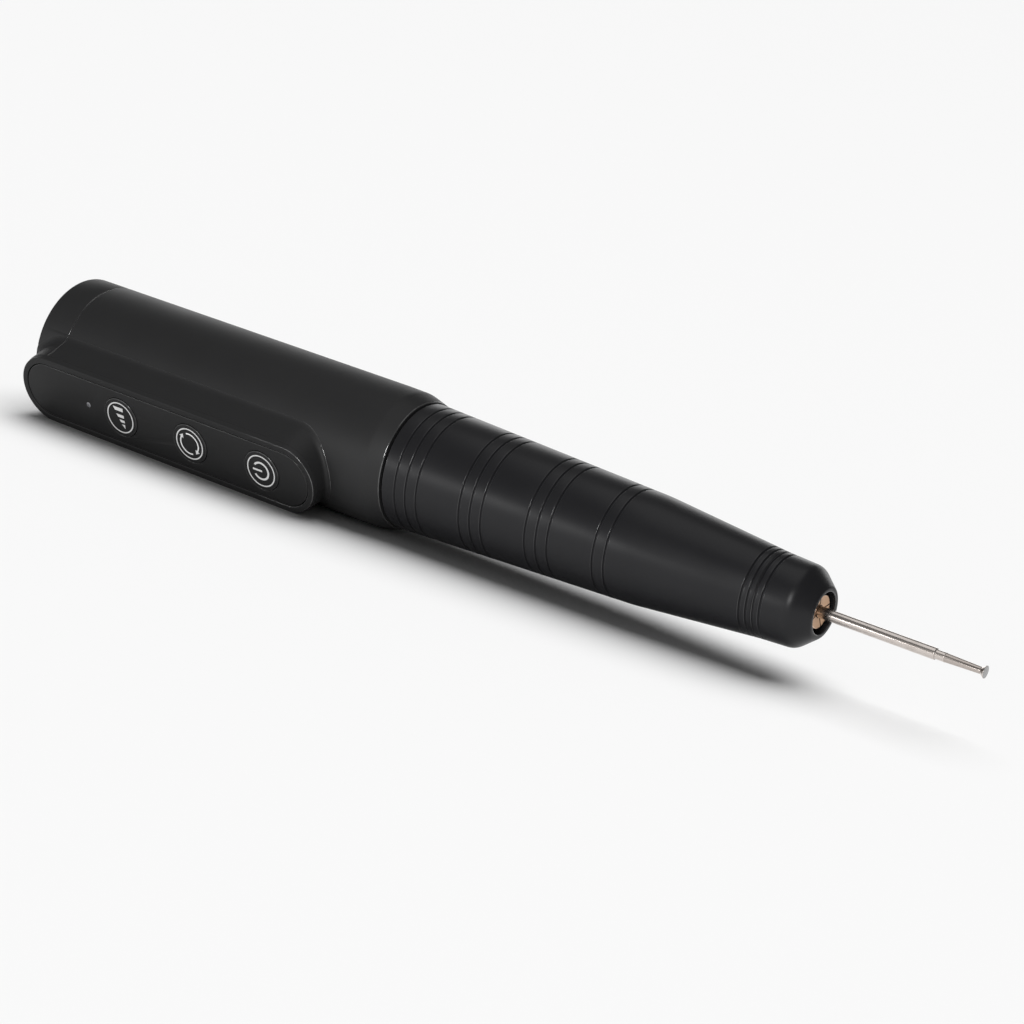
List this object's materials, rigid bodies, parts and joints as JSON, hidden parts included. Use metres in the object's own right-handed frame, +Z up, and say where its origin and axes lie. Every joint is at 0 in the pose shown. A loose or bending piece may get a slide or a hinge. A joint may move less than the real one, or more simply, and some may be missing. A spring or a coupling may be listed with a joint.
{
  "type": "mini rotary tool",
  "caption": "Cordless pen-shaped mini rotary tool: a motor drives a slotted collet and bit, keys on a raised side panel set it, and a twist grip opens the collet.",
  "frame": {"origin": "on the ground, under the middle of the tool's box, as it lies on its body and its panel's lower edge", "axes": "+X along the tool towards the tip, -Y the side that the panel faces, +Z up"},
  "size_m": [0.2272, 0.0358, 0.03],
  "materials": {
    "housing_black": "matte charcoal",
    "grip_black": "satin black anodised",
    "panel_black": "matte black with light grey printed symbols",
    "lens": "clear grey",
    "lamp_white": "white",
    "circuit_board": "green solder mask",
    "chip": "moulded",
    "bright_steel": "ground",
    "dark_steel": "oiled",
    "tool_steel": "polished steel",
    "nickel_strip": "nickel plated",
    "bronze": "satin bronze",
    "brass": "turned",
    "alloy": "turned",
    "cell_wrap": "blue heat-shrink sleeve",
    "foam": "closed-cell foam",
    "ferrite": "sintered",
    "inner_plastic": "moulded",
    "lead_red": "insulation",
    "lead_black": "insulation"
  },
  "bodies": {
    "housing": {"main_housing": "housing_black", "rear_cap": "housing_black", "panel_bezel": "housing_black", "panel_plate": "panel_black", "led_lens": "lens", "status_led": "lamp_white", "control_board": "circuit_board", "controller_chip": "chip", "motor_driver_chip": "chip", "board_screw_front": "bright_steel", "board_screw_rear": "bright_steel", "usb_socket": "bright_steel", "speed_switch": "bright_steel", "direction_switch": "bright_steel", "power_switch": "bright_steel", "battery_cell": "cell_wrap", "battery_cradle": "inner_plastic", "battery_contact_front": "nickel_strip", "battery_contact_rear": "nickel_strip", "foam_pad": "foam", "battery_lead_red": "lead_red", "battery_lead_black": "lead_black", "motor_lead_red": "lead_red", "motor_lead_black": "lead_black", "motor_can": "dark_steel", "motor_end_cap": "inner_plastic", "magnet_panel_side": "ferrite", "magnet_far_side": "ferrite", "motor_mount": "alloy", "motor_screw_left": "bright_steel", "motor_screw_right": "bright_steel", "spindle_housing": "alloy", "rear_bearing_outer_race": "bright_steel", "front_bearing_outer_race": "bright_steel", "bearing_retaining_ring": "dark_steel", "grip_retaining_ring": "dark_steel"},
    "speed_key": {"speed_button": "panel_black", "speed_plunger": "chip"},
    "direction_key": {"direction_button": "panel_black", "direction_plunger": "chip"},
    "power_key": {"power_button": "panel_black", "power_plunger": "chip"},
    "spindle_group": {"rotor_core": "dark_steel", "commutator": "bronze", "motor_shaft": "bright_steel", "drive_coupling": "brass", "spindle": "bright_steel", "rear_bearing_inner_race": "bright_steel", "front_bearing_inner_race": "bright_steel", "rear_bearing_ball_cage": "bright_steel", "front_bearing_ball_cage": "bright_steel", "collet_spring": "bright_steel"},
    "collet_group": {"collet": "bronze", "draw_rod": "bright_steel", "release_pin": "dark_steel"},
    "bit": {"engraving_bit": "tool_steel"},
    "twist_grip": {"grip_sleeve": "grip_black", "cam_sleeve": "alloy"},
    "pusher": {"release_pusher": "dark_steel"}
  },
  "joints": [
    {"name": "speed_press", "type": "slide", "parent": "housing", "child": "speed_key", "axis": [0, 0.9137, 0.4063], "range_m": [0, 0.00025], "stiffness_N_per_m": 4000},
    {"name": "direction_press", "type": "slide", "parent": "housing", "child": "direction_key", "axis": [0, 0.9137, 0.4063], "range_m": [0, 0.00025], "stiffness_N_per_m": 4000},
    {"name": "power_press", "type": "slide", "parent": "housing", "child": "power_key", "axis": [0, 0.9137, 0.4063], "range_m": [0, 0.00025], "stiffness_N_per_m": 4000},
    {"name": "spindle_spin", "type": "hinge", "parent": "housing", "child": "spindle_group", "pos_m": [0, 0.00289, 0.015], "axis": [1, 0, 0], "continuous": true},
    {"name": "grip_twist", "type": "hinge", "parent": "housing", "child": "twist_grip", "pos_m": [0, 0.00289, 0.015], "axis": [1, 0, 0], "range_deg": [0, 60]},
    {"name": "pusher_slide", "type": "slide", "parent": "housing", "child": "pusher", "axis": [1, 0, 0], "range_m": [0, 0.0006]},
    {"name": "collet_open", "type": "slide", "parent": "spindle_group", "child": "collet_group", "axis": [1, 0, 0], "range_m": [0, 0.0006]},
    {"name": "bit_pull", "type": "slide", "parent": "collet_group", "child": "bit", "axis": [1, 0, 0], "range_m": [0, 0.0105]}
  ],
  "couplings": [
    {"joint": "pusher_slide", "follows": "grip_twist", "m_per_rad": 0.0005729},
    {"joint": "collet_open", "follows": "grip_twist", "m_per_rad": 0.0005729}
  ]
}
